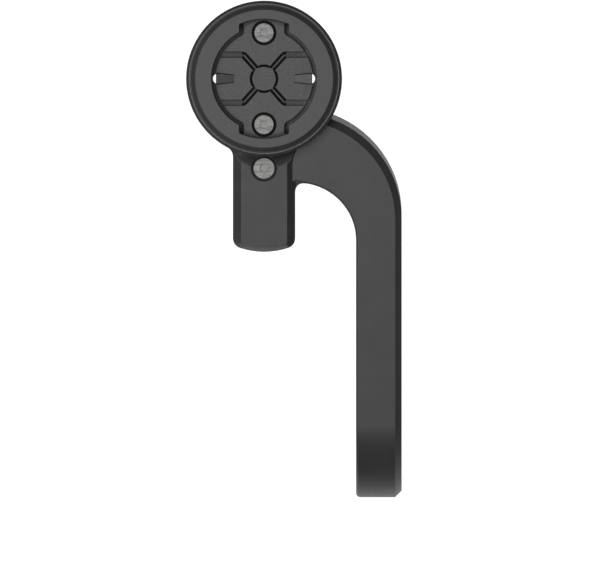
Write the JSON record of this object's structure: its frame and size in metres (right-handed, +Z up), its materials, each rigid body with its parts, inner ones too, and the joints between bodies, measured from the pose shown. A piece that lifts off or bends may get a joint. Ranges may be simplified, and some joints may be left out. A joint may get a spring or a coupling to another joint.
{
  "type": "handlebar computer mount",
  "caption": "Out-front handlebar mount: hinged clamp, J-shaped arm, level quarter-turn socket with sprung detents for a cycling computer, and a prong adapter below.",
  "frame": {"origin": "on the handlebar's axis, half way along the clamp", "axes": "+X to the rider's right along the handlebar, +Y forward, +Z up out of the computer socket"},
  "size_m": [0.0557, 0.1284, 0.066],
  "materials": {
    "black_anodised": "fine bead-blasted, black anodised",
    "black_nylon": "matt moulded, glass-filled",
    "stainless": "turned head, satin",
    "zinc_steel": "zinc plated",
    "brass_thread": "satin",
    "rubber_liner": "matt"
  },
  "bodies": {
    "arm": {"arm_body": "black_anodised", "mount_insert": "black_nylon", "insert_screw_front": "stainless", "insert_screw_rear": "stainless", "tongue_screw": "stainless", "front_thread_insert": "brass_thread", "accessory_adapter": "black_nylon", "adapter_nut_front": "zinc_steel", "adapter_nut_rear": "zinc_steel", "accessory_nut": "zinc_steel", "hinge_pin": "stainless", "upper_liner": "rubber_liner", "barrel_nut": "zinc_steel"},
    "jaw": {"clamp_jaw": "black_anodised", "lower_liner": "rubber_liner", "bolt_retaining_ring": "black_nylon"},
    "bolt": {"clamp_bolt": "stainless", "bolt_washer": "stainless"},
    "finger_left": {"detent_finger_left": "black_nylon"},
    "finger_right": {"detent_finger_right": "black_nylon"}
  },
  "joints": [
    {"name": "jaw_hinge", "type": "hinge", "parent": "arm", "child": "jaw", "pos_m": [0, -0.01956, -0.00416], "axis": [-1, 0, 0], "range_deg": [0, 60]},
    {"name": "bolt_slide", "type": "slide", "parent": "jaw", "child": "bolt", "axis": [0, 0.2079, -0.9781], "range_m": [0, 0.013]},
    {"name": "finger_left_flex", "type": "hinge", "parent": "arm", "child": "finger_left", "pos_m": [-0.03773, 0.08502, 0.04065], "axis": [0, -1, 0], "range_deg": [0, 6], "stiffness_Nm_per_rad": 0.2},
    {"name": "finger_right_flex", "type": "hinge", "parent": "arm", "child": "finger_right", "pos_m": [-0.02161, 0.08502, 0.04065], "axis": [0, 1, 0], "range_deg": [0, 6], "stiffness_Nm_per_rad": 0.2}
  ],
  "couplings": [
    {"joint": "bolt_slide", "follows": "jaw_hinge", "m_per_rad": 0.012}
  ]
}
